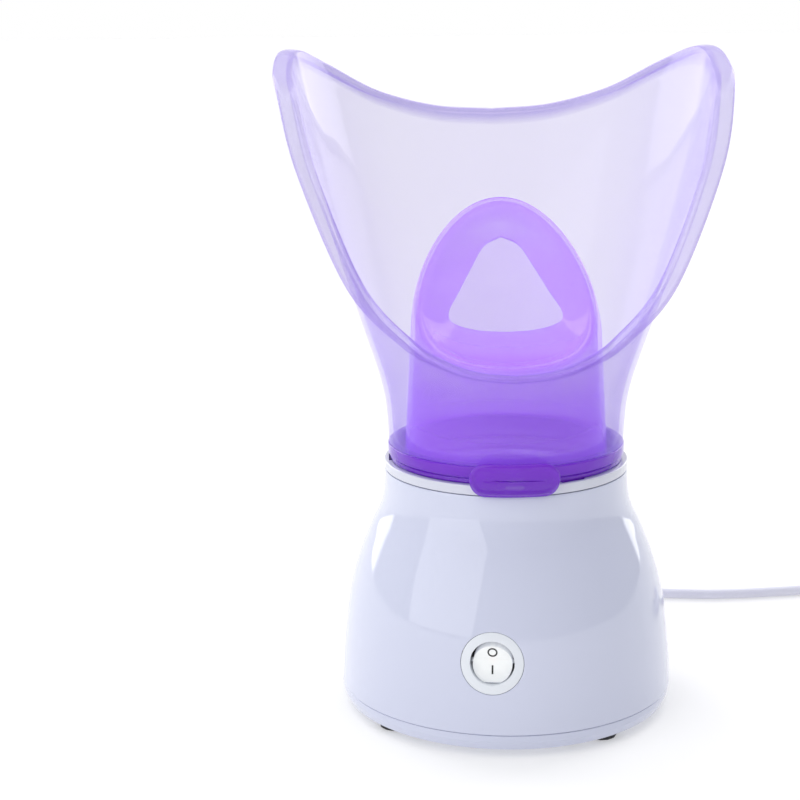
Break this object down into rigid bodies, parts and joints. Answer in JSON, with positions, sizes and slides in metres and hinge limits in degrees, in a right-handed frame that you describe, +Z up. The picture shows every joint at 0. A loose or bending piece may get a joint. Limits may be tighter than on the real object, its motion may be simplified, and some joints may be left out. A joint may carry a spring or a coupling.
{
  "type": "facial steamer",
  "caption": "Bell-shaped electric facial steamer with a boiling dish, twist ring with thumb tab, nose inhaler, wide flared face mask, round rocker switch and mains lead.",
  "frame": {"origin": "centre of the base plate's underside, on the axis of the housing; the rubber feet reach 3 mm lower, to the table", "axes": "+Z up along the housing axis, -Y to the front, where the power switch is, +X to the right seen from the front"},
  "size_m": [0.3953, 0.317, 0.3223],
  "materials": {
    "housing_white": "gloss white, very faint lilac cast",
    "collar_white": "gloss white",
    "mask_lilac_clear": "clear lilac, polished",
    "inhaler_violet_clear": "translucent violet, polished",
    "ring_deep_violet": "deep translucent violet, polished",
    "rocker_clear": "clear, polished",
    "switch_black": "moulded",
    "foot_rubber": "matt",
    "seal_silicone": "satin",
    "dish_aluminium": "satin",
    "zinc_steel": "bright zinc",
    "contact_brass": "bright",
    "phenolic_brown": "moulded",
    "wiring_white": "moulded",
    "lead_sheath": "satin lilac grey",
    "plug_black": "satin lilac grey",
    "wire_blue": "satin",
    "wire_brown": "satin",
    "lamp_glass": "clear orange"
  },
  "bodies": {
    "base": {"base_plate": "housing_white", "base_screw_1": "zinc_steel", "base_screw_2": "zinc_steel", "base_screw_3": "zinc_steel", "base_screw_4": "zinc_steel", "clamp_post_1": "wiring_white", "clamp_post_2": "wiring_white", "clamp_screw_1": "zinc_steel", "clamp_screw_2": "zinc_steel", "cord_clamp": "switch_black", "cord_coil": "lead_sheath", "cord_free": "lead_sheath", "cord_tie": "switch_black", "foot_1": "foot_rubber", "foot_2": "foot_rubber", "foot_3": "foot_rubber", "foot_4": "foot_rubber", "heat_shield": "zinc_steel", "heater_screw_1": "zinc_steel", "heater_screw_2": "zinc_steel", "heater_screw_3": "zinc_steel", "heating_element": "zinc_steel", "heating_plate": "dish_aluminium", "housing": "housing_white", "indicator_lamp": "lamp_glass", "inner_lead": "lead_sheath", "plug_body": "plug_black", "plug_pin_1": "contact_brass", "plug_pin_2": "contact_brass", "rocker_axle_left": "zinc_steel", "rocker_axle_right": "zinc_steel", "seal_ring": "seal_silicone", "strain_relief": "lead_sheath", "switch_bezel": "collar_white", "switch_body": "switch_black", "switch_terminal_1": "contact_brass", "switch_terminal_2": "contact_brass", "switch_terminal_3": "contact_brass", "terminal_block": "wiring_white", "thermal_fuse": "wiring_white", "thermostat": "phenolic_brown", "top_collar": "collar_white", "water_dish": "dish_aluminium", "wire_live": "wire_brown", "wire_neutral": "wire_blue", "wire_switched": "wire_brown"},
    "rocker": {"switch_rocker": "rocker_clear"},
    "ring": {"twist_ring": "ring_deep_violet"},
    "mask": {"face_mask": "mask_lilac_clear"},
    "inhaler": {"nose_inhaler": "inhaler_violet_clear"}
  },
  "joints": [
    {"name": "rocker_tilt", "type": "hinge", "parent": "base", "child": "rocker", "pos_m": [0, -0.07217, 0.04148], "axis": [-1, 0, 0], "range_deg": [0, 20]},
    {"name": "ring_twist", "type": "hinge", "parent": "base", "child": "ring", "pos_m": [0, 0, 0.1275], "axis": [0, 0, 1], "range_deg": [0, 30]},
    {"name": "mask_lift", "type": "slide", "parent": "ring", "child": "mask", "axis": [0, 0, 1], "range_m": [0, 0.13]},
    {"name": "inhaler_lift", "type": "slide", "parent": "ring", "child": "inhaler", "axis": [0, 0, 1], "range_m": [0, 0.12]}
  ]
}
